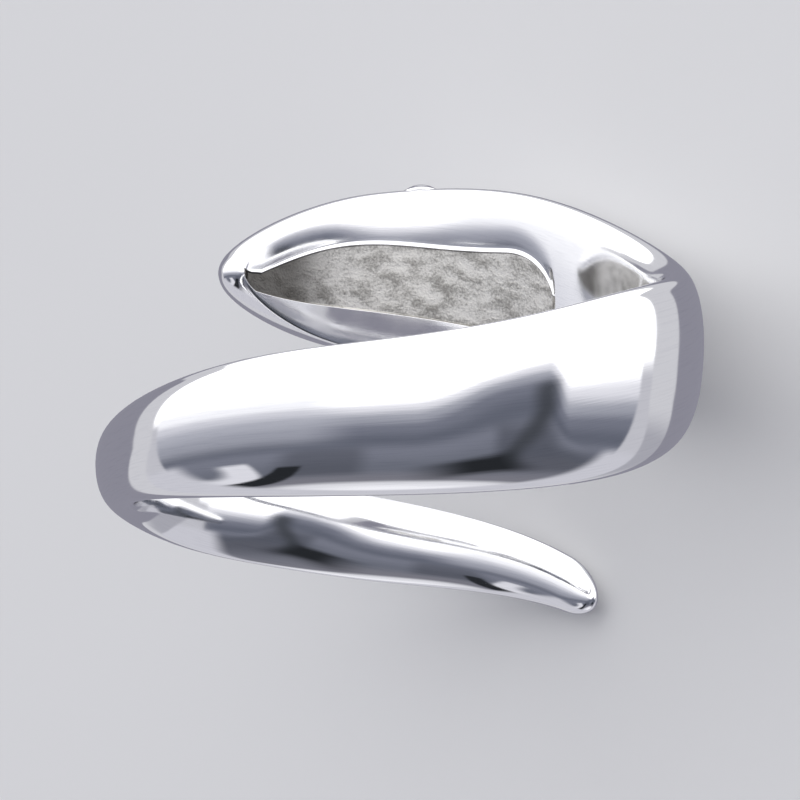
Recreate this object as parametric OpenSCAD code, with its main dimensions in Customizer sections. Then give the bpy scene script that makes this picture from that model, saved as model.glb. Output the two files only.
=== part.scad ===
// A bird ring, cast in one piece of polished silver.
// One bar wraps the finger for a turn and a quarter. One end is a thick bird's head with a pointed
// beak and two small eyes, and the other end is a narrow tail with a round tip. Both ends lie on the
// far side of the finger, the head above and the tail below. The finger side is a plain round hole, which
// only grazes the tail, so the tail is round on that side too.
//
// The band is described round the finger's axis: turn 0 is the near side, +90 is the right, 180 is the
// far side and -90 is the left. The whole is then laid down as it rests by itself on a table: on the
// back of its head and the tip of its tail, with the finger's axis nearly level.

/* [Finger] */
// Radius of the finger hole
finger_r = 9.25; // [7:0.05:12]

/* [Ends] */
// Turn at which the beak ends
beak_turn = 222; // [200:1:225]
// Turn at which the tail ends
tail_turn = -232; // [-245:1:-200]
// Length of the beak's taper, in degrees round the finger
beak_taper = 38; // [10:1:60]
// Length of the tail's rounded tip, in degrees round the finger
tail_taper = 9; // [3:1:20]

/* [Eyes] */
// Turn at which the eyes sit
eye_turn = 175; // [160:1:200]
// Radius of each eye
eye_r = 0.7; // [0.4:0.05:1.2]
// How far each eye's centre lies under the head's skin
eye_depth = 0.35; // [0.1:0.05:0.6]
// Place of the eyes on the section, from the outer side up to the head's edge
eye_side = 80; // [30:1:90]

/* [Panel] */
// Depth of the bare panel sunk into the inside of the head
panel_depth = 0.12; // [0.05:0.01:0.3]
// Radius of the panel's corners
panel_corner_r = 0.15; // [0.05:0.05:0.8]

/* [Rest] */
// Turn that is undermost as the ring rests
down_turn = 131.1; // [125:0.1:140]
// Angle of the finger's axis from upright as the ring rests
axis_tip = 84; // [80:0.1:90]
// Angle by which the resting ring is turned on the table
facing = 90; // [-180:1:180]

/* [Hidden] */

// The band's sections, one each 25 degrees from turn 225 on. The values steer a smooth curve that
// passes near them.
// height: middle of the section along the finger's axis
// width: from edge to edge along the axis
// seat: from the finger's skin out to the section's widest line
// dome: from that line out to the back of the band
// sink: how far the section's inner half reaches into the finger hole, before the hole is cut
// lean: turn of the section, with its upper edge leaning outwards
rows_from = 225;
rows_step = 25;
HEIGHT = 0;
WIDTH = 1;
SEAT = 2;
DOME = 3;
SINK = 4;
LEAN = 5;
rows = [
    // height, width, seat, dome, sink, lean
    [ 4.50, 3.95, 0.85, 2.40, 1.80, 20],
    [ 4.30, 6.00, 0.95, 2.95, 1.20, 15],
    [ 4.45, 6.95, 1.00, 2.80, 0.50, 12],
    [ 4.30, 7.00, 1.00, 1.90, 0.15,  9],
    [ 3.10, 6.25, 0.95, 1.35, 0.15,  5],
    [ 2.10, 5.75, 0.90, 1.10, 0.20,  2],
    [ 1.55, 6.00, 0.80, 1.10, 0.25,  1],
    [ 1.05, 6.45, 0.80, 1.05, 0.30,  0],
    [ 0.50, 5.80, 0.75, 1.05, 0.30,  0],
    [ 0.15, 5.20, 0.75, 1.05, 0.30,  0],
    [-0.15, 4.90, 0.70, 1.05, 0.30,  1],
    [-0.90, 4.05, 0.70, 1.05, 0.30,  2],
    [-1.95, 3.05, 0.70, 1.00, 0.25,  3],
    [-3.20, 2.90, 0.70, 1.00, 0.12,  3],
    [-4.60, 3.35, 0.65, 1.00, 0.06,  2],
    [-5.50, 3.65, 0.65, 0.95, 0.05,  1],
    [-6.35, 3.55, 0.60, 0.90, 0.05,  1],
    [-6.90, 2.95, 0.60, 0.85, 0.05,  0],
    [-7.70, 2.20, 0.55, 0.80, 0.05,  0],
    [-9.35, 1.40, 0.50, 0.75, 0.05,  0],
];

// The panel's outline as it is seen from the near side, from the beak's end to the band's.
// x: place from left to right
// low, top: its lower and upper edge along the finger's axis
panel_rows = [
    // x, low, top
    [-6.0, 3.97, 4.20],
    [-5.2, 3.68, 4.46],
    [-4.4, 3.44, 4.80],
    [-3.4, 3.24, 5.20],
    [-2.0, 3.06, 5.46],
    [ 0.0, 2.78, 5.49],
    [ 2.7, 2.35, 5.30],
    [ 4.2, 2.15, 5.20],
    [ 5.2, 2.04, 4.83],
    [ 5.8, 1.97, 4.30],
    [ 6.1, 1.93, 3.70],
    [ 6.2, 1.90, 3.00],
];
X = 0;
LOW = 1;
TOP = 2;

stations = 100;        // sections along the band, apart from the two end points
corners = 28;          // points round each section
crowding = 0.75;       // share of the sections' spacing that crowds towards the ends
squareness = 2.2;      // 2 is an oval, and more is squarer
hole_l = 40;           // length of the tool that cuts the finger hole
smooth_sides = 96;     // sides that show on round cuts
corner_sides = 24;     // sides round the panel's corners, of a full circle
eye_sides = 32;        // sides that show on the eyes
silver = [0.78, 0.78, 0.80];

function row(i) =
    let (last = len(rows) - 1)
    i < 0 ? 2 * rows[0] - rows[1]
    : i > last ? 2 * rows[last] - rows[last - 1]
    : rows[i];

// The values at one turn: a uniform cubic B-spline over the rows.
function values(turn) =
    let (
        s = (rows_from - turn) / rows_step,
        i = min(max(floor(s), 0), len(rows) - 2),
        t = s - i
    )
    ((1 - t) ^ 3 * row(i - 1)
    + (3 * t ^ 3 - 6 * t ^ 2 + 4) * row(i)
    + (-3 * t ^ 3 + 3 * t ^ 2 + 3 * t + 1) * row(i + 1)
    + t ^ 3 * row(i + 2)) / 6;

// A quarter-oval taper: 0 at the tip, 1 from the end of the taper on.
function taper(from_tip, length) =
    from_tip >= length ? 1 : sqrt(max(0, 1 - (1 - from_tip / length) ^ 2));

function rounded(x) = sign(x) * abs(x) ^ (2 / squareness);

// A point of the band's skin. side is 0 at the back, 90 at the upper edge and 180 at the finger.
function skin(turn, side, deeper = 0) =
    let (
        v = values(turn),
        nose = taper(beak_turn - turn, beak_taper) * taper(turn - tail_turn, tail_taper),
        out = cos(side) < 0 ? v[SEAT] + v[SINK] : v[DOME],
        a = nose * (out - deeper) * rounded(cos(side)),
        b = nose * (v[WIDTH] / 2 - deeper) * rounded(sin(side)),
        r = finger_r + v[SEAT] + a * cos(v[LEAN]) + b * sin(v[LEAN]),
        h = v[HEIGHT] - a * sin(v[LEAN]) + b * cos(v[LEAN])
    )
    [r * sin(turn), -r * cos(turn), h];

// Share of the way from the beak to the tail at the section number k.
function along(k) =
    let (even = k / (stations + 1))
    crowding * (1 - cos(180 * even)) / 2 + (1 - crowding) * even;

function turn_at(k) = beak_turn + (tail_turn - beak_turn) * along(k);

band_points = concat(
    [skin(beak_turn, 0)],
    [for (k = [1:stations]) for (j = [0:corners - 1]) skin(turn_at(k), 360 * j / corners)],
    [skin(tail_turn, 0)]
);

function at(k, j) = 1 + (k - 1) * corners + j % corners;

band_faces = concat(
    [for (j = [0:corners - 1]) [0, at(1, j), at(1, j + 1)]],
    [for (k = [1:stations - 1]) for (j = [0:corners - 1]) [at(k, j), at(k + 1, j), at(k + 1, j + 1)]],
    [for (k = [1:stations - 1]) for (j = [0:corners - 1]) [at(k, j), at(k + 1, j + 1), at(k, j + 1)]],
    [for (j = [0:corners - 1]) [len(band_points) - 1, at(stations, j + 1), at(stations, j)]]
);

// A point turned about the upright axis.
function spun(p, angle) =
    [p[0] * cos(angle) - p[1] * sin(angle), p[0] * sin(angle) + p[1] * cos(angle), p[2]];

// The same turns as ring() makes, for the points' own extent.
function laid(p) =
    let (
        q = spun(p, -down_turn),
        y = q[1] * cos(axis_tip) - q[2] * sin(axis_tip),
        z = q[1] * sin(axis_tip) + q[2] * cos(axis_tip)
    )
    spun([q[0], y, z], facing);

laid_points = [for (p = band_points) laid(p)];
laid_eyes = [for (side = [-eye_side, eye_side]) laid(skin(eye_turn, side, eye_depth))];
low = [for (k = [0:2]) min(min([for (p = laid_points) p[k]]), min([for (p = laid_eyes) p[k] - eye_r]))];
high = [for (k = [0:2]) max(max([for (p = laid_points) p[k]]), max([for (p = laid_eyes) p[k] + eye_r]))];
set_down = [-(low[0] + high[0]) / 2, -(low[1] + high[1]) / 2, -low[2]];

// The eyes, one on each flank of the head.
module eyes() {
    for (side = [-eye_side, eye_side])
        translate(skin(eye_turn, side, eye_depth))
            sphere(r = eye_r, $fn = eye_sides);
}

// The slab that sinks the panel into the inside of the head. It is only on the far side of the finger.
module panel_tool() {
    outline = concat(
        [for (p = panel_rows) [p[X], p[LOW]]],
        [for (i = [len(panel_rows) - 1:-1:0]) [panel_rows[i][X], panel_rows[i][TOP]]]
    );
    intersection() {
        cylinder(r = finger_r + panel_depth, h = hole_l, center = true, $fn = smooth_sides);
        translate([0, hole_l / 2, 0])
            rotate([90, 0, 0])
                linear_extrude(hole_l / 2)
                    offset(r = panel_corner_r, $fn = corner_sides)
                        offset(delta = -panel_corner_r)
                            polygon(outline);
    }
}

module ring() {
    color(silver)
        translate(set_down)
            rotate([axis_tip, 0, facing])
                rotate([0, 0, -down_turn])
                    difference() {
                        union() {
                            polyhedron(points = band_points, faces = band_faces, convexity = 6);
                            eyes();
                        }
                        cylinder(r = finger_r, h = hole_l, center = true, $fn = smooth_sides);
                        panel_tool();
                    }
}

ring();
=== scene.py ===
# %% [markdown]
# # A wrap ring with a bird's head, in polished silver
# The ring is one casting. A bar winds round the finger for a turn and a quarter, one end swells into a
# bird's head with a pointed beak, and the other end thins out into a tail. It rests on a pale table, on the
# back of its heavy head and the tip of its tail. This lesson loads the exact but faceted frame first, then
# builds a smooth skin over it, and spends most of its effort on two things that decide how polished metal
# looks: an even surface, and what there is around it to be mirrored.

import math

import bpy
import numpy as np
from mathutils import Matrix, Vector


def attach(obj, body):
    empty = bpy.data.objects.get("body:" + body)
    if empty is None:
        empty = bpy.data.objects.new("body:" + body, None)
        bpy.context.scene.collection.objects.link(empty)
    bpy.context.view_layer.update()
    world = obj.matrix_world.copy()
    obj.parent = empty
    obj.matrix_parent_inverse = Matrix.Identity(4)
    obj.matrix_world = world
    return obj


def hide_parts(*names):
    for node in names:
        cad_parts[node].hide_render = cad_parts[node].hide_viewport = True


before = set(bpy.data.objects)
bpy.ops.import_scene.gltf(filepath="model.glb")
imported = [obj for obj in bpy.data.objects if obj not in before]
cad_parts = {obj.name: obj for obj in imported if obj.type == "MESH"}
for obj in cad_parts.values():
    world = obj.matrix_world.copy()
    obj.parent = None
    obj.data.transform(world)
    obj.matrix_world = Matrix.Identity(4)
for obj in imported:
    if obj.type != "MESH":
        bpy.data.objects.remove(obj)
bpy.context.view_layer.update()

# %% [markdown]
# ## The band's table
# Polished metal shows every facet, so the frame's flat triangles can't be what is seen. The same table of
# sections that shaped the frame is swept again here, far more finely. A sculpted mesh could follow the shape
# as well, but a table keeps every reflection line smooth, and it can be measured.
#
# Each row is one section. Its height is where its middle lies along the finger's axis, and its width is
# measured the same way. The seat is how far out its widest line lies from the finger's skin, the dome is how
# far the back rises from that line, and the lean turns the whole section. Only the sink differs a little
# from the frame's. It says how far the section reaches towards the finger before the wall is made round:
# more of it brings the wall nearer to the head's upper rim, and less of it leaves the tail rounder. Neither
# changes the outline, but both change what the wall mirrors.

# %% The band's table, in millimetres and degrees
ROWS_FROM = 225
ROWS_STEP = 25
BAND_ROWS = np.array([
    # height, width, seat, dome, sink, lean
    [4.50, 3.95, 0.85, 2.40, 1.80, 20],
    [4.30, 6.00, 0.95, 2.95, 1.20, 15],
    [4.45, 6.95, 1.00, 2.80, 0.65, 12],
    [4.30, 7.00, 1.00, 1.90, 1.10, 9],
    [3.10, 6.25, 0.95, 1.35, 1.10, 5],
    [2.10, 5.75, 0.90, 1.10, 0.50, 2],
    [1.55, 6.00, 0.80, 1.10, 0.25, 1],
    [1.05, 6.45, 0.80, 1.05, 0.30, 0],
    [0.50, 5.80, 0.75, 1.05, 0.30, 0],
    [0.15, 5.20, 0.75, 1.05, 0.30, 0],
    [-0.15, 4.90, 0.70, 1.05, 0.30, 1],
    [-0.90, 4.05, 0.70, 1.05, 0.30, 2],
    [-1.95, 3.05, 0.70, 1.00, 0.20, 3],
    [-3.20, 2.90, 0.70, 1.00, 0.05, 3],
    [-4.60, 3.35, 0.65, 1.00, -0.02, 2],
    [-5.50, 3.65, 0.65, 0.95, -0.03, 1],
    [-6.35, 3.55, 0.60, 0.90, -0.03, 1],
    [-6.90, 2.95, 0.60, 0.85, -0.02, 0],
    [-7.70, 2.20, 0.55, 0.80, 0.00, 0],
    [-9.35, 1.40, 0.50, 0.75, 0.00, 0],
])
HEIGHT, WIDTH, SEAT, DOME, SINK, LEAN = range(6)
print(len(BAND_ROWS), "rows, one every", ROWS_STEP, "degrees round the finger")

# %% [markdown]
# ## From rows to a smooth section
# Straight steps between the rows would show as creases in the reflections. A cubic B-spline passes near the
# rows instead of through them, and its curvature never jumps, which is what the eye looks for in polished
# metal. Each section is an oval that is a little squared, with a flatter finger side, and it shrinks to a
# point at the beak and at the tail.


# %% Smooth values between the rows
def between_rows(table, s):
    """A table's values at the row number s: a cubic B-spline, so that no reflection shows where a row is."""
    before = 2 * table[0] - table[1]
    after = 2 * table[-1] - table[-2]
    rows = np.vstack([before, table, after])
    i = int(min(max(math.floor(s), 0), len(table) - 2))
    t = s - i
    weights = [
        (1 - t) ** 3,
        3 * t ** 3 - 6 * t ** 2 + 4,
        -3 * t ** 3 + 3 * t ** 2 + 3 * t + 1,
        t ** 3,
    ]
    return np.array(weights) @ rows[i:i + 4] / 6


def band_values(turn):
    """The six values at one turn."""
    return between_rows(BAND_ROWS, (ROWS_FROM - turn) / ROWS_STEP)


print("values at turn 175, in the head:", np.round(band_values(175), 2))

# %% The section's size towards the two tips
BEAK_TURN = 222
TAIL_TURN = -232
BEAK_TAPER = 38
TAIL_TAPER = 9


def taper(from_tip, length):
    """A quarter oval: 0 at the tip, 1 from the end of the taper on."""
    if from_tip >= length:
        return 1.0
    return math.sqrt(max(0.0, 1 - (1 - from_tip / length) ** 2))


def fullness(turn):
    """How much of its full size a section has. It is 1 all along, and falls to 0 at both tips."""
    return taper(BEAK_TURN - turn, BEAK_TAPER) * taper(turn - TAIL_TURN, TAIL_TAPER)


print(f"the beak is at {fullness(BEAK_TURN - 5):.2f} of its full size 5 degrees from its tip")

# %% The band's section at one turn
FINGER_R = 9.25
SQUARENESS = 2.2
DRAWN_IN = 0.02


def rounded(x):
    """An oval's sine or cosine, a little squared."""
    return np.sign(x) * np.abs(x) ** (2 / SQUARENESS)


def section(turn, side):
    """Radius and height of the band's skin at one turn. Side 0 is the back, 90 the upper edge.

    The smooth skin bulges a little between the frame's flat faces, so it is drawn in by as much.
    """
    v = band_values(turn)
    nose = fullness(turn)
    lean = math.radians(v[LEAN])
    c = np.cos(np.radians(side))
    s = np.sin(np.radians(side))
    a = nose * (np.where(c < 0, v[SEAT] + v[SINK], v[DOME]) - DRAWN_IN) * rounded(c)
    b = nose * (v[WIDTH] / 2 - DRAWN_IN) * rounded(s)
    radius = FINGER_R + v[SEAT] + a * math.cos(lean) + b * math.sin(lean)
    height = v[HEIGHT] - a * math.sin(lean) + b * math.cos(lean)
    return radius, height


print(f"back of the head: {section(175, np.array([0.0]))[0][0]:.2f} mm from the finger's axis")

# %% [markdown]
# ## How the ring rests
# The table describes the ring round an upright finger. Left alone, the heavy head rolls to the bottom, and
# the ring comes to rest on the back of the head and the tip of the tail with its hole sideways. The frame
# was made in that resting position, so the same three turns and the same shift bring the smooth skin onto
# it.

# %% From the upright finger to the table
MM = 0.001
DOWN_TURN = math.radians(131.1)
AXIS_TIP = math.radians(84)
FACING = math.radians(90)
SET_DOWN = Vector((-0.460405, -0.470352, 11.347239))
SPIN = Matrix.Rotation(-DOWN_TURN, 3, "Z")
LAY = Matrix.Rotation(FACING, 3, "Z") @ Matrix.Rotation(AXIS_TIP, 3, "X") @ SPIN


def resting(points):
    """Points about the upright finger, in millimetres, as they are on the table, in metres."""
    turned = np.asarray(points, float) @ np.array(LAY).T
    return (turned + np.array(SET_DOWN)) * MM


finger_axis = LAY @ Vector((0, 0, 1))
print("finger axis on the table:", [round(x, 3) for x in finger_axis])

# %% [markdown]
# ## The sunk panel
# The inside of the head has a shallow panel, a tenth of a millimetre deep and pointed like a leaf, darker and
# duller than the rest. A displacement map would leave ragged borders on so small a thing. Here the mesh's own
# columns run along the panel's borders instead, so its lips are as clean as a cut. The borders are smooth
# curves that pass close to a short table of places, and the upper corner at the blunt end is rounded.

# %% The panel's outline
PANEL_ROWS = np.array([
    # place from left to right, lower edge, upper edge
    [-5.9, 3.94, 4.20],
    [-5.2, 3.68, 4.46],
    [-4.4, 3.44, 4.80],
    [-3.4, 3.24, 5.20],
    [-2.0, 3.06, 5.46],
    [0.0, 2.78, 5.49],
    [2.7, 2.35, 5.30],
    [4.2, 2.15, 5.22],
    [6.2, 1.90, 5.10],
])
panel_x, panel_low, panel_top = PANEL_ROWS.T
LOW_EDGE = np.polyfit(panel_x, panel_low, 4)
TOP_EDGE = np.polyfit(panel_x, panel_top, 5)
PANEL_FROM = 180 - math.degrees(math.asin(panel_x[-1] / FINGER_R))
PANEL_TO = 180 - math.degrees(math.asin(panel_x[0] / FINGER_R))
print(f"panel from turn {PANEL_FROM:.1f} to {PANEL_TO:.1f}")
low_miss = np.abs(np.polyval(LOW_EDGE, panel_x) - panel_low).max()
top_miss = np.abs(np.polyval(TOP_EDGE, panel_x) - panel_top).max()
print(f"the curves miss the table's places by up to {low_miss:.3f} and {top_miss:.3f} mm")

# %% The panel's edges at one turn
DEGREE_MM = math.radians(FINGER_R)
PANEL_FADE = 0.25
PANEL_END_R = 2.3


def smooth_step(x):
    """0 below 0, 1 above 1, and a soft change in between."""
    x = np.clip(x, 0, 1)
    return x * x * (3 - 2 * x)


def panel_edges(turn):
    """The panel's lower and upper edge at one turn, and its share of the full depth there."""
    from_end = min(turn - PANEL_FROM, PANEL_TO - turn) * DEGREE_MM
    here = float(smooth_step(from_end / PANEL_FADE))
    to_round = min(max(1 - (turn - PANEL_FROM) * DEGREE_MM / PANEL_END_R, 0), 1)
    cut = PANEL_END_R * (1 - math.sqrt(1 - to_round ** 2))
    x = FINGER_R * math.sin(math.radians(min(max(turn, PANEL_FROM), PANEL_TO)))
    return np.polyval(LOW_EDGE, x), np.polyval(TOP_EDGE, x) - cut, here


print("edges at the panel's middle, in mm:", [round(float(h), 2) for h in panel_edges(180)[:2]])

# %% [markdown]
# ## The dip above the panel
# Along its upper border the silver first dips softly and then rises to a fine bead, as it does when a border
# is cleaned with a file. That dip is what draws the grey field with a bright line under it. A second short
# table says how steep and how tall it is. It is laid on the smooth wall as an offset, so both can be tuned
# apart from each other.

# %% A soft dip that ends in a bead
BEAD = 0.2
SHOULDER_FROM = 220
SHOULDER_STEP = 12.5
SHOULDER_ROWS = np.array([
    # how far it leans back at the bead, in degrees, and how far it reaches up
    [1.0, 0.35],
    [10.0, 0.80],
    [4.0, 0.95],
    [2.0, 1.10],
    [4.0, 1.35],
    [11.0, 1.35],
    [12.0, 1.40],
    [7.0, 1.20],
    [3.0, 0.80],
])


def shoulder(turn, above):
    """How far the silver lies back at a distance above the panel: a soft dip that ends at the bead."""
    s = (SHOULDER_FROM - turn) / SHOULDER_STEP
    lean, reach = between_rows(SHOULDER_ROWS, min(max(s, 0), len(SHOULDER_ROWS) - 1))
    u = np.clip(above / reach, 0, 1)
    dip = math.radians(lean) * reach * (1 - u) ** 3 * (1 + u) / 2
    return dip * smooth_step(above / BEAD)


print(f"dip a fifth of a millimetre above the panel's middle: {float(shoulder(180, 0.2)):.3f} mm")

# %% [markdown]
# ## Where a loop's points lie
# Every loop has the same points in the same order: round the dome from the lower rim to the upper rim, then
# down the finger's wall. Columns of points crowd where the shape turns sharply, at the rims and the panel's
# lips. Away from the panel they spread evenly again, because a cluster of narrow faces beside wide ones
# pulls the smooth shading askew, and a mirror shows that as a thin line.

# %% Crowded steps, and the rims between dome and wall
WALL_SIDE_MOST = 158


def crowded(steps, share, both=True):
    """Fractions from 0 to 1 that crowd towards the ends, or only towards 0."""
    even = np.linspace(0, 1, steps + 1)
    curve = (1 - np.cos(np.pi * even)) / 2 if both else 1 - np.cos(np.pi / 2 * even)
    return share * curve + (1 - share) * even


def rim_side(turn, sign):
    """The side angle at which the section meets the finger's wall, above (+1) or below (-1)."""
    side = np.linspace(90, 180, 361)
    radius, _ = section(turn, sign * side)
    under = np.nonzero(radius < FINGER_R)[0]
    if not len(under):
        return WALL_SIDE_MOST
    k = under[0]
    share = (radius[k - 1] - FINGER_R) / (radius[k - 1] - radius[k])
    return min(side[k - 1] + share * (side[k] - side[k - 1]), WALL_SIDE_MOST)


print(f"upper rim: at side {rim_side(0, 1):.1f} on the near band, {rim_side(-180, 1):.1f} on the tail")

# %% Where the lips' columns run
PANEL_TO_PLAIN = 14
PLAIN_LOW, PLAIN_TOP = 0.3, 0.6
RIM_ROOM = 0.12
LOW_MOST, TOP_LEAST = 0.4, 0.5


def lip_heights(turn, top, bottom):
    """The heights of the two lips' columns, and how plain the wall is.

    Beside the panel they are its edges. Beyond its ends they move to a plain place, as shares of the wall.
    """
    low_edge, top_edge, _ = panel_edges(turn)
    away = max(PANEL_FROM - turn, turn - PANEL_TO, 0)
    plain = float(smooth_step(away / PANEL_TO_PLAIN))
    span = top - bottom
    low_edge = (1 - plain) * low_edge + plain * (bottom + PLAIN_LOW * span)
    top_edge = (1 - plain) * top_edge + plain * (bottom + PLAIN_TOP * span)
    low_edge = min(max(low_edge, bottom + RIM_ROOM * span), bottom + LOW_MOST * span)
    top_edge = max(min(top_edge, top - RIM_ROOM * span), bottom + TOP_LEAST * span)
    return low_edge, top_edge, plain


print("lips' columns on a wall from 0 to 5 mm, far from the panel:", lip_heights(0, 5, 0)[:2])

# %% Columns down the finger's wall
WALL_STEPS = 14
WALL_CROWDING = 0.5
BEAD_STEPS = 8
FLOOR_STEPS = 12
EVEN_CROWDING = 0.4
LIP = 0.05
LIP_PLACES = np.array([1.6, 1, 0.33, -0.33, -1, -1.6])
LIP_MOST, BEAD_MOST = 0.015, 0.09


def wall_columns(turn, top, bottom):
    """Heights of the wall's columns from the upper rim to the lower one, and how sunk each may be."""
    low_edge, top_edge, plain = lip_heights(turn, top, bottom)
    lip = min(LIP / 2, LIP_MOST * (top - bottom))
    bead = min(BEAD, BEAD_MOST * (top - bottom))
    upper_lip = top_edge + lip * LIP_PLACES
    lower_lip = low_edge + lip * LIP_PLACES
    from_rim = crowded(WALL_STEPS, WALL_CROWDING, both=False)
    near_top = top + (top_edge + bead - top) * from_rim
    on_bead = np.linspace(top_edge + bead, upper_lip[0], BEAD_STEPS + 1)
    floor = upper_lip[-1] + (lower_lip[0] - upper_lip[-1]) * crowded(FLOOR_STEPS, EVEN_CROWDING)
    near_low = bottom + (lower_lip[-1] - bottom) * from_rim[::-1]
    heights = np.concatenate([near_top, on_bead[1:-1], upper_lip, floor[1:-1], lower_lip, near_low[1:]])
    even = top + (bottom - top) * crowded(len(heights) - 1, EVEN_CROWDING)
    heights = heights + plain * (even - heights)
    falling = smooth_step((1 - LIP_PLACES) / 2)
    silver_above = np.zeros(WALL_STEPS + BEAD_STEPS)
    silver_below = np.zeros(WALL_STEPS)
    sunk = np.concatenate([silver_above, falling, np.ones(FLOOR_STEPS - 1), 1 - falling, silver_below])
    return heights, sunk, top_edge


print("columns down the wall:", len(wall_columns(180, 6.5, 1.5)[0]))

# %% [markdown]
# ## Rims, crown and the tail's ridge
# Where the dome meets the wall, a smooth maximum stands in for the sharp corner, as buffing rounds a real
# rim: it follows the larger of the two radii and blends them over a tenth of a millimetre. The rim catches
# the thin bright line that tells polished metal from plastic. The wall itself isn't a perfect tube. Sanding
# leaves it a little crowned towards its edges, and the tail, where the finger only grazes it, keeps a soft
# ridge.

# %% The wall's small departures from a tube
RIM_BLEND = 0.1
CROWN = 0.1
TAIL_ROUND = 0.12
TAIL_TILT = 0.08
ROUND_FROM, ROUND_RUN = -60, 50
TILT_FROM, TILT_RUN = -150, 40


def across_band(turn, height):
    """Where a height lies from the lower edge (-1) to the upper edge (1), and half the band's width."""
    v = band_values(turn)
    half = fullness(turn) * v[WIDTH] / 2
    return np.clip((height - v[HEIGHT]) / half, -1, 1), half


def on_wall(radius, t):
    """Keeps the skin outside the finger's crowned wall, with a soft corner where the two meet."""
    crown = CROWN * t ** 4
    proud = radius - FINGER_R - crown
    return FINGER_R + crown + (proud + np.sqrt(proud ** 2 + RIM_BLEND ** 2)) / 2


def tail_ridge(turn, t, half):
    """How far the tail's finger side lies back at its edges, so that a soft ridge runs along it."""
    tail = float(smooth_step((ROUND_FROM - turn) / ROUND_RUN))
    tilt = TAIL_TILT * float(smooth_step((TILT_FROM - turn) / TILT_RUN))
    return tail * (half * (1 - t ** 6) * (tilt * t + TAIL_ROUND * t ** 2))


print(f"the tail's upper side lies back by up to {tail_ridge(-200, np.linspace(0, 1, 50), 1.8).max():.2f} mm")

# %% One closed loop
DOME_STEPS = 96
DOME_CROWDING = 0.55
INNER_SAMPLES = 241
PANEL_DEPTH = 0.12
INSIDE_FROM, INSIDE_RUN = 0.3, 0.25
GRAZED = 0.2
RIM_REACH = 0.35


def loop(turn):
    """One closed loop: radius, height, how sunk, how near a rim, and how far inside each point is."""
    upper = rim_side(turn, 1)
    lower = -rim_side(turn, -1)
    dome_side = lower + (upper - lower) * crowded(DOME_STEPS, DOME_CROWDING)
    dome_r, dome_h = section(turn, dome_side)
    inner_r, inner_h = section(turn, np.linspace(upper, 360 + lower, INNER_SAMPLES))
    wall_h, may_sink, top_edge = wall_columns(turn, inner_h[0], inner_h[-1])
    wall_r = np.interp(-wall_h, -inner_h, inner_r)
    height = np.concatenate([dome_h, wall_h[1:-1]])
    radius = np.concatenate([dome_r, wall_r[1:-1]])
    inner = np.concatenate([np.abs(dome_side) > 90, np.ones(len(wall_h) - 2, bool)])
    here = panel_edges(turn)[2]
    sunk = np.concatenate([np.zeros(len(dome_r)), (may_sink * here)[1:-1]])
    t, half = across_band(turn, height)
    radius = on_wall(radius, t) + PANEL_DEPTH * sunk
    radius = radius + np.where(inner, tail_ridge(turn, t, half), 0)
    above = height - top_edge
    radius = radius + here * np.where(inner & (above > 0), shoulder(turn, above), 0)
    to_rim = np.minimum(
        np.hypot(radius - dome_r[0], height - dome_h[0]),
        np.hypot(radius - dome_r[-1], height - dome_h[-1]),
    )
    edged = float(smooth_step((FINGER_R - inner_r.min()) / GRAZED))
    inside = smooth_step((FINGER_R + INSIDE_FROM - radius) / INSIDE_RUN) * inner
    return radius, height, sunk, edged * np.exp(-to_rim / RIM_REACH), inside


LOOP_POINTS = len(loop(0.0)[0])
print("points in a loop:", LOOP_POINTS)

# %% [markdown]
# ## Where the loops stand
# Loops stand about one degree apart along the band. At both tips they crowd as the points of a round nose
# do, and at the panel's two ends they crowd so that its depth can fade in over a quarter of a millimetre.

# %% Stations along the band
BEAK_LOOPS = 40
TAIL_LOOPS = 22
MIDDLE_LOOPS = 371
END_LOOPS = 14
PAST_FADE = 0.1
CLOSEST = 0.02


def nose_steps(count):
    """Shares of a taper's length that crowd towards the tip."""
    return 1 - np.cos(np.linspace(0, np.pi / 2, count + 1)[1:])


def stations():
    """The turns at which loops are made, from the beak to the tail."""
    beak = BEAK_TURN - BEAK_TAPER * nose_steps(BEAK_LOOPS)
    tail = TAIL_TURN + TAIL_TAPER * nose_steps(TAIL_LOOPS)
    middle = np.linspace(beak[-1], tail[-1], MIDDLE_LOOPS)
    near_end = np.linspace(0, PANEL_FADE + PAST_FADE, END_LOOPS) / DEGREE_MM
    turns = np.concatenate([beak, middle, tail, PANEL_FROM + near_end, PANEL_TO - near_end])
    turns = np.sort(turns)[::-1]
    keep = [0]
    for k in range(1, len(turns)):
        if turns[keep[-1]] - turns[k] > CLOSEST:
            keep.append(k)
    return turns[keep]


TURNS = stations()
print(len(TURNS), "loops")

# %% [markdown]
# ## Sweeping the skin
# The loops become one closed mesh, with a point at each tip. Building it from points and faces keeps full
# control of where the columns run, which a curve with a bevel would not.
#
# Helper values ride along on every vertex. One is its place on a straight round bar of the same girth, as if
# the band were unrolled: scratches can follow it, and it has no seam where the loop closes, which a flat map
# would show as a line in the mirror. The others say how near a rim the vertex is, where a worn ring is
# scuffed the most, how far inside the ring it is, and how close to the beak.


# %% A loop's points round the finger and along the bar
def round_finger(turn, radius, height):
    """Points at one turn, from their radius and height."""
    angle = math.radians(turn)
    return np.column_stack([radius * math.sin(angle), -radius * math.cos(angle), height])


def unrolled(turn, radius, height):
    """The same points on a straight round bar of the same girth."""
    steps = np.hypot(np.roll(radius, -1) - radius, np.roll(height, -1) - height)
    bar_r = steps.sum() / (2 * math.pi)
    way = (np.cumsum(steps) - steps) / bar_r
    along_bar = np.full(len(radius), turn * DEGREE_MM)
    return np.column_stack([along_bar, bar_r * np.cos(way), bar_r * np.sin(way)])


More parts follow.
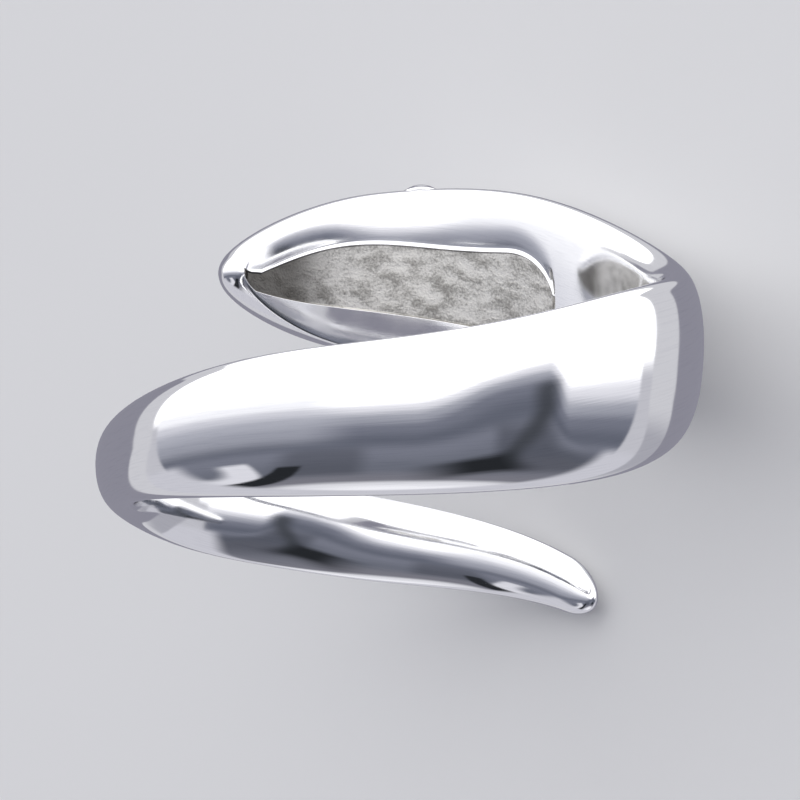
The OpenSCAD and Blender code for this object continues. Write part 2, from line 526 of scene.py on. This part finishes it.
loops = [loop(turn) for turn in TURNS]
print(f"the whole bar is {(BEAK_TURN - TAIL_TURN) * DEGREE_MM:.1f} mm long, measured on the finger")


# %% Faces between the loops
def ring_faces():
    """Four-sided faces between neighbouring loops, and a fan of triangles at each tip."""
    around = LOOP_POINTS
    count = len(TURNS) * around
    j = np.arange(around)
    after = (j + 1) % around
    faces = []
    for k in range(len(TURNS) - 1):
        a = k * around
        b = (k + 1) * around
        faces += np.column_stack([a + j, b + j, b + after, a + after]).tolist()
    last = (len(TURNS) - 1) * around
    faces += np.column_stack([np.full(around, count), j, after]).tolist()
    faces += np.column_stack([np.full(around, count + 1), last + after, last + j]).tolist()
    return faces


print("faces in one band between two loops:", LOOP_POINTS)

# %% The ring's mesh
ring_points = [round_finger(turn, radius, height) for turn, (radius, height, *_) in zip(TURNS, loops)]
for turn in (BEAK_TURN, TAIL_TURN):
    ring_points.append(round_finger(turn, *section(turn, np.array([0.0]))))
ring_mesh = bpy.data.meshes.new("silver_ring")
ring_mesh.from_pydata(resting(np.vstack(ring_points)).tolist(), [], ring_faces())
ring_mesh.validate()
ring_mesh.shade_smooth()
silver_ring = bpy.data.objects.new("silver_ring", ring_mesh)
bpy.context.scene.collection.objects.link(silver_ring)
print("ring mesh:", len(ring_mesh.vertices), "points,", len(ring_mesh.polygons), "faces")

# %% Values that ride on the points
DARK_FROM, DARK_RUN = 193, 14
SUNK, RIM, INSIDE = 2, 3, 4


def at_points(k):
    """One of the loops' values at every point of the ring, and 0 at the two tips."""
    return np.concatenate([values[k] for values in loops] + [np.zeros(2)])


ring_place = [unrolled(turn, radius, height) for turn, (radius, height, *_) in zip(TURNS, loops)]
for turn in (BEAK_TURN, TAIL_TURN):
    ring_place.append([[turn * DEGREE_MM, 0, 0]])
ring_place = np.vstack(ring_place)
ring_sunk = at_points(SUNK)
to_beak = np.clip((ring_place[:, 0] / DEGREE_MM - DARK_FROM) / DARK_RUN, 0, 1)
along = ring_mesh.attributes.new("along", "FLOAT_VECTOR", "POINT")
along.data.foreach_set("vector", ring_place.astype(np.float32).ravel())
for name, values in (("rim", at_points(RIM)), ("inside", at_points(INSIDE)), ("to_beak", to_beak)):
    carrier = ring_mesh.attributes.new(name, "FLOAT", "POINT")
    carrier.data.foreach_set("value", values.astype(np.float32))
    print("carried by the points:", name, "up to", round(float(values.max()), 2))

# %% [markdown]
# ## Where the camera stands
# The picture is taken from four degrees above the plane of the band, a hand's breadth away. As the ring
# rests, that point is well above the table, and the table fills the whole picture behind the ring. The
# camera is set by measured numbers rather than by eye, so that the render lies on the photograph.

# %% Camera
CAMERA_RISE = math.radians(4)
CAMERA_DISTANCE = 100
CAMERA_ASIDE = 0.147
PIXELS_PER_MM = 27.359
PICTURE = 800
SENSOR = 36
NEAREST, FARTHEST = 0.002, 20

aim = Vector(resting([(CAMERA_ASIDE, 0, 0)])[0])
towards_camera = LAY @ Vector((0, -math.cos(CAMERA_RISE), math.sin(CAMERA_RISE)))
picture_right = LAY @ Vector((1, 0, 0))
picture_up = towards_camera.cross(picture_right)
camera_data = bpy.data.cameras.new("camera")
camera_data.sensor_width = SENSOR
camera_data.lens = SENSOR * PIXELS_PER_MM * CAMERA_DISTANCE / PICTURE
camera_data.clip_start = NEAREST
camera_data.clip_end = FARTHEST
camera = bpy.data.objects.new("camera", camera_data)
bpy.context.scene.collection.objects.link(camera)
axes = Matrix((picture_right, picture_up, towards_camera)).transposed().to_4x4()
camera.matrix_world = Matrix.Translation(aim + towards_camera * CAMERA_DISTANCE * MM) @ axes
bpy.context.scene.camera = camera
looks_down = math.degrees(math.asin(towards_camera.z))
print(f"lens {camera_data.lens:.1f} mm, looking down at {looks_down:.1f} degrees")

# %% [markdown]
# ## Small helpers for node trees
# Materials and the world are both node trees, and in code each node takes four or five lines. A handful of
# helpers turn a tree into a sum that can be read: each takes plain values or the sockets of other nodes, and
# gives back a socket.


# %% Numbers and colours
def plug(tree, value, socket):
    """Puts a plain value on a socket, or links another node's output to it."""
    if isinstance(value, bpy.types.NodeSocket):
        tree.links.new(value, socket)
    elif isinstance(value, tuple) and len(value) == 3 and len(socket.default_value) == 4:
        socket.default_value = (*value, 1)
    else:
        socket.default_value = value


def number(tree, operation, a, b):
    """Two numbers or sockets put through a Math node."""
    node = tree.nodes.new("ShaderNodeMath")
    node.operation = operation
    plug(tree, a, node.inputs[0])
    plug(tree, b, node.inputs[1])
    return node.outputs[0]


def spread(tree, value, start, end, low=0.0, high=1.0):
    """Low before start, high after end, and a soft change in between."""
    node = tree.nodes.new("ShaderNodeMapRange")
    node.interpolation_type = "SMOOTHSTEP"
    names = ("Value", "From Min", "From Max", "To Min", "To Max")
    for name, x in zip(names, (value, start, end, low, high)):
        plug(tree, x, node.inputs[name])
    return node.outputs["Result"]


def over(tree, under, colour, mask):
    """Lays a colour over what is there, as much as the mask says."""
    node = tree.nodes.new("ShaderNodeMix")
    node.data_type = "RGBA"
    plug(tree, mask, node.inputs["Factor"])
    plug(tree, under, node.inputs[6])
    plug(tree, colour, node.inputs[7])
    return node.outputs[2]


print("helpers for numbers and colours:", [helper.__name__ for helper in (plug, number, spread, over)])


# %% Noise, bumps and carried values
def noise(tree, place, scale, detail=2.0, stretch=(1, 1, 1)):
    """Noise between 0 and 1 at a place or in a direction, finer with a larger scale."""
    squeezed = tree.nodes.new("ShaderNodeVectorMath")
    squeezed.operation = "MULTIPLY"
    plug(tree, place, squeezed.inputs[0])
    squeezed.inputs[1].default_value = stretch
    node = tree.nodes.new("ShaderNodeTexNoise")
    node.inputs["Scale"].default_value = scale
    node.inputs["Detail"].default_value = detail
    tree.links.new(squeezed.outputs[0], node.inputs["Vector"])
    return node.outputs["Fac"]


def bump(tree, height, depth, before=None):
    """A bump whose full height is depth, in metres."""
    node = tree.nodes.new("ShaderNodeBump")
    node.inputs["Strength"].default_value = 1
    node.inputs["Distance"].default_value = depth
    plug(tree, height, node.inputs["Height"])
    if before is not None:
        tree.links.new(before, node.inputs["Normal"])
    return node.outputs["Normal"]


def carried(tree, name, kind="Fac"):
    """A value that the mesh carries on its points."""
    node = tree.nodes.new("ShaderNodeAttribute")
    node.attribute_name = name
    return node.outputs[kind]


def new_finish(name):
    """A new material, with its node tree and its main shader."""
    finish = bpy.data.materials.new(name)
    finish.use_nodes = True
    return finish, finish.node_tree, finish.node_tree.nodes["Principled BSDF"]


print("helpers for finishes:", [helper.__name__ for helper in (noise, bump, carried, new_finish)])

# %% [markdown]
# ## Polished silver
# Silver is the whitest of metals, so its own colour is nearly white and all the rest is mirrored. What makes
# it look real is what isn't perfect: the polishing wheel leaves hair lines along the band, the surface
# swells by a few hundredths of a millimetre, and the finger side is only tumbled, so it is more satin. All
# of it is made with noise that follows the band's own length and girth, because a scratch runs along a ring.
# A photographed scratch texture would repeat, and its scale would be a guess.

# %% Silver's grain and how rough it is
HAIR_LINES = (0.12, 6, 6)
SHINIEST, DULLEST = 0.035, 0.085
SATIN_INSIDE = 0.04
SCUFFED_RIM = 0.14

silver, tree, shader = new_finish("polished_silver")
place = carried(tree, "along", "Vector")
hair = noise(tree, place, scale=3.0, detail=3, stretch=HAIR_LINES)
fine_hair = noise(tree, place, scale=11.0, detail=2, stretch=HAIR_LINES)
haze = noise(tree, place, scale=0.9, detail=4)
scuffs = number(tree, "MULTIPLY", carried(tree, "rim"), fine_hair)
rough = spread(tree, haze, 0.3, 0.75, SHINIEST, DULLEST)
rough = number(tree, "ADD", rough, number(tree, "MULTIPLY", carried(tree, "inside"), SATIN_INSIDE))
rough = number(tree, "ADD", rough, number(tree, "MULTIPLY", scuffs, SCUFFED_RIM))
plug(tree, rough, shader.inputs["Roughness"])
print("roughness of the outside, away from the rims: from", SHINIEST, "to", DULLEST)

# %% Silver's colour and relief
BRIGHT_SILVER = (0.93, 0.93, 0.935)
HAIR_SILVER = (0.88, 0.88, 0.893)
SWELL_DEPTH = 0.00003
HAIR_DEPTH = 0.0000004
SCUFF_DEPTH = 0.0000006

tone = over(tree, BRIGHT_SILVER, HAIR_SILVER, spread(tree, hair, 0.45, 0.75))
plug(tree, tone, shader.inputs["Base Color"])
shader.inputs["Metallic"].default_value = 1
swell = noise(tree, place, scale=0.22, detail=0)
relief = bump(tree, swell, SWELL_DEPTH)
relief = bump(tree, hair, HAIR_DEPTH, relief)
relief = bump(tree, scuffs, SCUFF_DEPTH, relief)
plug(tree, relief, shader.inputs["Normal"])
ring_mesh.materials.append(silver)
print("polished silver:", len(tree.nodes), "nodes")

# %% [markdown]
# ## The panel's darkened ground
# The sunk ground isn't polished. It was left as it came from the mould, with a fine pitted grain, and
# darkened so that the bright lips stand out against it. A chemical dip darkens silver unevenly, and wiping
# clears it again from the high spots, so cream, grey and brown lie side by side there. It stays darkest in
# the narrow end at the beak, where the cloth doesn't reach. It is its own material on its own faces, because
# a mask painted over the polished silver would blur the clean border.

# %% Darkened ground
WIPED_CLEAR = (0.74, 0.725, 0.69)
DARKENED = (0.3, 0.29, 0.27)
DARKEST = (0.1, 0.094, 0.085)
GRAIN_SHARE = 0.6
BEAK_SHARE = 0.85
ALONG_BAND = (0.7, 1.2, 1.2)

ground, tree, shader = new_finish("darkened_ground")
place = carried(tree, "along", "Vector")
blotch = noise(tree, place, scale=1.6, detail=6, stretch=ALONG_BAND)
grain = noise(tree, place, scale=11.0, detail=5)
wiped = number(tree, "ADD", blotch, number(tree, "MULTIPLY", grain, GRAIN_SHARE))
tone = over(tree, DARKENED, WIPED_CLEAR, spread(tree, wiped, 0.55, 0.95))
in_beak = number(tree, "MULTIPLY", spread(tree, carried(tree, "to_beak"), 0, 1), BEAK_SHARE)
tone = over(tree, tone, DARKEST, in_beak)
plug(tree, tone, shader.inputs["Base Color"])
shader.inputs["Metallic"].default_value = 1
print("darkened ground: three tones, from", DARKEST, "to", WIPED_CLEAR)

# %% The ground's grain, and the faces it covers
GROUND_SHINIEST, GROUND_DULLEST = 0.3, 0.5
BLOTCH_DEPTH = 0.00002
GRAIN_DEPTH = 0.000012
SUNK_ENOUGH = 0.02

rough = spread(tree, grain, 0.3, 0.7, GROUND_SHINIEST, GROUND_DULLEST)
plug(tree, rough, shader.inputs["Roughness"])
relief = bump(tree, blotch, BLOTCH_DEPTH)
relief = bump(tree, grain, GRAIN_DEPTH, relief)
plug(tree, relief, shader.inputs["Normal"])
ring_mesh.materials.append(ground)
on_ground = np.array([max(ring_sunk[list(face.vertices)]) > SUNK_ENOUGH for face in ring_mesh.polygons])
ring_mesh.polygons.foreach_set("material_index", on_ground.astype(np.int32))
print("faces of darkened ground:", int(on_ground.sum()))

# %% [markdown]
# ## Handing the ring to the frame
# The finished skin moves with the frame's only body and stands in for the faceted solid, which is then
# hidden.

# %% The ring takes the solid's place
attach(silver_ring, "root")
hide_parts("ring")
print("the smooth skin stands for the node: ring")

# %% [markdown]
# ## The eyes
# Two small round eyes sit on the flanks of the head. On the real ring they are one with it, with a soft
# hollow curve where they meet the flank, as wax takes when it is smoothed before casting. A ball pushed into
# the head would meet it in a hard line, so each eye is a turned profile with that foot in it.

# %% The eye's profile and its place
EYE_TURN = 175
EYE_SIDE = 80
EYE_PROFILE = np.array([
    # radius, height over the head's skin
    [1.00, -0.20], [0.92, -0.07], [0.84, -0.01], [0.76, 0.04], [0.69, 0.09], [0.63, 0.14],
    [0.56, 0.187], [0.48, 0.23], [0.38, 0.264], [0.26, 0.288], [0.13, 0.301], [0.0, 0.305],
])


def skin_point(turn, side):
    """One point of the band's skin."""
    return Vector(round_finger(turn, *section(turn, np.array([side])))[0])


def eye_axes(side):
    """The middle of an eye on the head's skin, and its directions forward, sideways and outwards."""
    middle = skin_point(EYE_TURN, side)
    forward = (skin_point(EYE_TURN + 1, side) - middle).normalized()
    across = (skin_point(EYE_TURN, side + 1) - middle).normalized()
    out = forward.cross(across).normalized()
    if out.dot(middle - skin_point(EYE_TURN, side + 180)) < 0:
        out = -out
    return middle, forward, out.cross(forward), out


print("upper eye, from the finger's axis, in mm:", [round(x, 2) for x in eye_axes(EYE_SIDE)[0]])

# %% An eye's points and faces
EYE_STEPS = 48


def eye_points(side):
    """The profile turned about the head's own direction outwards, and the point on top."""
    middle, forward, sideways, out = eye_axes(side)
    points = []
    for radius, height in EYE_PROFILE[:-1]:
        for k in range(EYE_STEPS):
            a = 2 * math.pi * k / EYE_STEPS
            level = middle + forward * radius * math.cos(a) + sideways * radius * math.sin(a)
            points.append(level + out * height)
    points.append(middle + out * EYE_PROFILE[-1, 1])
    return points


def eye_faces():
    """The closed underside, rows of four-sided faces, and a fan of triangles on top."""
    faces = [list(range(EYE_STEPS))[::-1]]
    for row in range(len(EYE_PROFILE) - 2):
        for k in range(EYE_STEPS):
            a = row * EYE_STEPS + k
            b = row * EYE_STEPS + (k + 1) % EYE_STEPS
            faces.append([a, b, b + EYE_STEPS, a + EYE_STEPS])
    top = (len(EYE_PROFILE) - 1) * EYE_STEPS
    last = top - EYE_STEPS
    faces += [[last + k, last + (k + 1) % EYE_STEPS, top] for k in range(EYE_STEPS)]
    return faces


print("an eye has", len(eye_points(EYE_SIDE)), "points and", len(eye_faces()), "faces")


# %% Two lathed eyes
def lathed_eye(name, side):
    """An eye in polished silver, which moves with the ring."""
    points = eye_points(side)
    mesh = bpy.data.meshes.new(name)
    mesh.from_pydata(resting([tuple(p) for p in points]).tolist(), [], eye_faces())
    mesh.validate()
    mesh.shade_smooth()
    places = np.array([[EYE_TURN * DEGREE_MM + p[0], p[1], p[2]] for p in points], np.float32)
    layer = mesh.attributes.new("along", "FLOAT_VECTOR", "POINT")
    layer.data.foreach_set("vector", places.ravel())
    for value in ("rim", "inside"):
        layer = mesh.attributes.new(value, "FLOAT", "POINT")
        layer.data.foreach_set("value", np.zeros(len(points), np.float32))
    mesh.materials.append(silver)
    eye = bpy.data.objects.new(name, mesh)
    bpy.context.scene.collection.objects.link(eye)
    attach(eye, "root")
    return eye


eyes = [lathed_eye("eye_upper", EYE_SIDE), lathed_eye("eye_lower", -EYE_SIDE)]
print("eyes:", [eye.name for eye in eyes])

# %% [markdown]
# ## The table
# The ring lies on a plain pale surface, which gives it a soft shadow and something to rest on. Its mirror
# image in the silver is switched off, because the room painted next already holds what the silver should
# mirror from below. It belongs to the stage and not to the part.

# %% A plain pale table
TABLE_SIZE = 4
TABLE_WHITE = (0.7, 0.7, 0.705)

bpy.ops.mesh.primitive_plane_add(size=TABLE_SIZE)
table = bpy.context.object
table.name = "table"
table_paint, tree, shader = new_finish("table_paint")
plug(tree, TABLE_WHITE, shader.inputs["Base Color"])
table.data.materials.append(table_paint)
table.visible_glossy = False
print("table:", TABLE_SIZE, "m wide, of the stage")

# %% [markdown]
# ## What the silver mirrors
# Polished silver shows the room more than itself. Jewellery is photographed inside a white tent, with cards
# that put light and dark edges where the shape turns. Lamps and cards could be built as objects, but then
# each needs its own place and may show in the picture. Here the whole room is painted on the world by rule.
# A direction is measured along three axes that are fixed in the room: to the right, to the top and to the
# camera. Every field is a soft step along them. The axes don't follow the camera when the ring is looked at
# from another side, so the room stays where it is.

# %% The room's three axes
world = bpy.data.worlds.new("studio")
world.use_nodes = True
bpy.context.scene.world = world
tree = world.node_tree
direction = tree.nodes.new("ShaderNodeTexCoord").outputs["Generated"]


def share_of(axis):
    """How far a direction points along one of the room's axes, from -1 to 1."""
    dot = tree.nodes.new("ShaderNodeVectorMath")
    dot.operation = "DOT_PRODUCT"
    tree.links.new(direction, dot.inputs[0])
    dot.inputs[1].default_value = axis
    return dot.outputs["Value"]


to_right = share_of(picture_right)
to_top = share_of(picture_up)
to_camera = share_of(towards_camera)
print("the room's way to the top:", [round(x, 2) for x in picture_up])


# %% Fields and ramps
def both(a, b):
    """Where two fields overlap, or a field thinned to a share."""
    return number(tree, "MULTIPLY", a, b)


def minus(a, b):
    """The first value less the second."""
    return number(tree, "SUBTRACT", a, b)


def between(value, start, end, soft):
    """1 between start and end, with soft edges."""
    return both(spread(tree, value, start - soft, start + soft), spread(tree, value, end + soft, end - soft))


def ramp(value, stops):
    """A run of colours along a value from 0 to 1."""
    node = tree.nodes.new("ShaderNodeValToRGB")
    tree.links.new(value, node.inputs[0])
    band = node.color_ramp
    band.interpolation = "EASE"
    for place, _ in stops[1:-1]:
        band.elements.new(place)
    for element, (place, colour) in zip(band.elements, stops):
        element.position = place
        element.color = (*colour, 1)
    return node.outputs["Color"]


print("helpers for the room:", [helper.__name__ for helper in (both, minus, between, ramp)])

# %% [markdown]
# ## The field in front
# From the top down, the band mirrors the white tent, then a soft edge into grey where the opening for the
# camera is, and at the bottom the pale table in front. The photograph's edges aren't straight, as cloth
# hangs in folds, so two of the directions are also stirred with a little noise, for the patches that follow.
# At the right the grey climbs to a peak.

# %% Stirred directions
ASIDE_STIR = 0.12
RISE_STIR = 0.1

wander = noise(tree, direction, scale=1.7, detail=1)
drift = noise(tree, direction, scale=1.3, detail=1, stretch=(1, -1.2, 1))
across = number(tree, "ADD", to_right, both(minus(wander, 0.5), ASIDE_STIR))
rise = number(tree, "ADD", to_top, both(minus(drift, 0.5), RISE_STIR))
print("stirred by up to", ASIDE_STIR / 2, "aside and", RISE_STIR / 2, "up and down")

# %% From the tent down to the table
WHITE_TENT = (1.5, 1.5, 1.53)
NEAR_TABLE = (0.95, 0.95, 1.0)
FRONT_STOPS = [
    (0.0, NEAR_TABLE),
    (0.06, (0.75, 0.75, 0.8)),
    (0.12, (0.2, 0.2, 0.235)),
    (0.30, (0.15, 0.16, 0.2)),
    (0.47, (0.19, 0.2, 0.25)),
    (0.57, (0.125, 0.135, 0.175)),
    (0.66, (0.18, 0.19, 0.24)),
    (0.72, (0.36, 0.37, 0.43)),
    (0.78, (0.8, 0.8, 0.86)),
    (0.84, WHITE_TENT),
]
FRONT_LOW, FRONT_TOP = -1.0, 0.2
PEAK_HEIGHT = 0.2

peak = both(spread(tree, across, 0.1, 0.8), spread(tree, across, 0.91, 0.81))
peak = both(peak, spread(tree, to_top, -0.8, -0.5))
fall = spread(tree, minus(to_top, both(peak, PEAK_HEIGHT)), FRONT_LOW, FRONT_TOP)
fall.node.interpolation_type = "LINEAR"
front = ramp(fall, FRONT_STOPS)
print("the front field has", len(FRONT_STOPS), "tones")

# %% [markdown]
# ## Patches that break the grey
# A bare gradient looks like a computer's. What sells a mirror are a few odd things in it: a duller stretch
# of cloth, a dark upright, a small window and the deep black beside it. Each is a box in the room's
# directions, skewed or slanted where the photograph's edge is, and laid over the field like a film.

# %% Dimmer stretches
DIM_CLOTH = (0.5, 0.51, 0.58)
SHADE = (0.05, 0.054, 0.07)
DUSK = (0.06, 0.065, 0.085)

dim = both(spread(tree, to_right, -0.2, -0.6), between(to_top, -0.3, 0.1, soft=0.08))
front = over(tree, front, DIM_CLOTH, both(dim, 0.5))
shade = both(between(across, -0.62, -0.2, soft=0.08), between(rise, -0.76, -0.4, soft=0.06))
front = over(tree, front, SHADE, both(shade, 0.5))
dusk = both(between(across, 0.58, 0.84, soft=0.05), between(rise, -0.7, -0.22, soft=0.08))
low_dusk = both(between(across, 0.84, 1.1, soft=0.05), between(rise, -0.7, -0.45, soft=0.06))
front = over(tree, front, DUSK, number(tree, "ADD", both(dusk, 0.6), both(low_dusk, 0.5)))
print("dimmed: the cloth at the left, the low left, and the right")

# %% A dark upright and a slanting wedge
DARK_UPRIGHT = (0.055, 0.06, 0.072)
SOOT = (0.02, 0.022, 0.026)
BENT_FROM, BEND = -0.12, 0.38
SLANT_FROM, SLANT = 0.55, 0.35

under_bend = number(tree, "MINIMUM", number(tree, "ADD", rise, -BENT_FROM), 0.0)
bent = minus(across, both(under_bend, BEND))
upright = both(between(bent, 0.765, 0.85, soft=0.04), between(rise, -0.64, 0.02, soft=0.05))
front = over(tree, front, DARK_UPRIGHT, both(upright, 0.9))
slanting = minus(rise, both(minus(across, SLANT_FROM), SLANT))
wedge = both(spread(tree, across, 0.0, 0.45), spread(tree, across, 0.74, 0.58))
wedge = both(wedge, between(slanting, -0.72, -0.5, soft=0.05))
front = over(tree, front, SOOT, wedge)
print("laid over the front: an upright at the right, and a wedge that slants down to the left")

# %% A window and the black beside it
WINDOW = (0.74, 0.74, 0.8)
WINDOW_SKEW = 0.6

skewed = number(tree, "ADD", to_right, both(to_top, WINDOW_SKEW))
window = both(between(skewed, -1.14, -1.065, soft=0.015), between(to_top, -0.83, -0.50, soft=0.025))
front = over(tree, front, WINDOW, window)
beside = both(between(to_right, -0.63, -0.52, soft=0.015), between(to_top, -0.86, -0.58, soft=0.02))
front = over(tree, front, SOOT, beside)
print("laid over the front: a window at the lower left, and the black beside it")

# %% [markdown]
# ## Behind the ring
# Where the silver turns away, it mirrors what is behind it: the tent's back, white at the top and a little
# grey low down. Round the outline it mirrors the card that the ring stands before. That card makes the two
# even fields at the band's left and right ends, a pale rim and a grey middle with a firm edge between them.
# It is a cone round the direction away from the camera, squeezed in height at the top and underneath, where
# the photograph has only a thin grey line.

# %% The tent's back
TENT_SHADOW = (0.55, 0.55, 0.6)
LOW_BACK = (0.6, 0.6, 0.66)
BACK_FROM, BACK_TO = -0.17, -0.21

aft = over(tree, WHITE_TENT, TENT_SHADOW, spread(tree, to_top, 0.08, -0.04))
studio = over(tree, front, aft, spread(tree, to_camera, BACK_FROM, BACK_TO))
low_back = both(spread(tree, to_top, -0.36, -0.46), spread(tree, to_camera, 0.02, -0.16))
studio = over(tree, studio, LOW_BACK, low_back)
print("the tent's back begins", round(-math.degrees(math.asin(BACK_FROM))), "degrees behind the ring")

# %% How the card is squeezed
SQUEEZE_OVER = 0.8
SQUEEZE_OVER_LESS = 0.6
UNDER_FROM = -0.1
SQUEEZE_UNDER = 0.5

to_side = spread(tree, number(tree, "ABSOLUTE", to_right, 0.0), 0.3, 0.65)
squeeze = minus(SQUEEZE_OVER, both(to_side, SQUEEZE_OVER_LESS))
over_level = both(number(tree, "MAXIMUM", to_top, 0.0), squeeze)
under_level = both(number(tree, "MAXIMUM", minus(UNDER_FROM, to_top), 0.0), SQUEEZE_UNDER)
off_level = number(tree, "ADD", over_level, under_level)


def card(to_left, inner, outer):
    """A cone away from the camera, turned to the left, that fades out between two half angles."""
    a = math.radians(to_left)
    middle = (-towards_camera * math.cos(a) - picture_right * math.sin(a)).normalized()
    edge = [math.cos(math.radians(angle)) for angle in (outer, inner)]
    return spread(tree, minus(share_of(middle), off_level), *edge)


print(f"squeezed at the top by {SQUEEZE_OVER}, and by {SQUEEZE_OVER - SQUEEZE_OVER_LESS:.1f} at the sides")

# %% The card's pale rim and grey middle
PALE_CARD = (0.62, 0.62, 0.66)
SHADED_CARD = (0.4, 0.4, 0.45)
GREY_CARD = (0.265, 0.262, 0.315)
PALE_EDGE, GREY_EDGE = (73, 75), (57, 59)
PALE_TURN, GREY_TURN = 2, 5

low_right = both(spread(tree, to_right, 0.3, 0.6), spread(tree, to_top, -0.12, -0.28))
rim_tone = over(tree, PALE_CARD, SHADED_CARD, low_right)
studio = over(tree, studio, rim_tone, card(PALE_TURN, *PALE_EDGE))
studio = over(tree, studio, GREY_CARD, card(GREY_TURN, *GREY_EDGE))
print("the card ends", PALE_EDGE[1], "degrees from straight behind, and its grey", GREY_EDGE[1], "degrees")

# %% [markdown]
# ## What the camera itself sees
# Past the table's edge the camera would see the painted room, so rays that come straight from the camera get
# a plain pale tone instead. The Standard view keeps the whites white, as a product photograph does, where a
# filmic curve would turn polished metal grey.

# %% The background
PLAIN_BACK = (0.6, 0.6, 0.61)

from_camera = tree.nodes.new("ShaderNodeLightPath").outputs["Is Camera Ray"]
plug(tree, over(tree, studio, PLAIN_BACK, from_camera), tree.nodes["Background"].inputs["Color"])
bpy.context.scene.view_settings.view_transform = "Standard"
print("the room:", len(tree.nodes), "nodes")
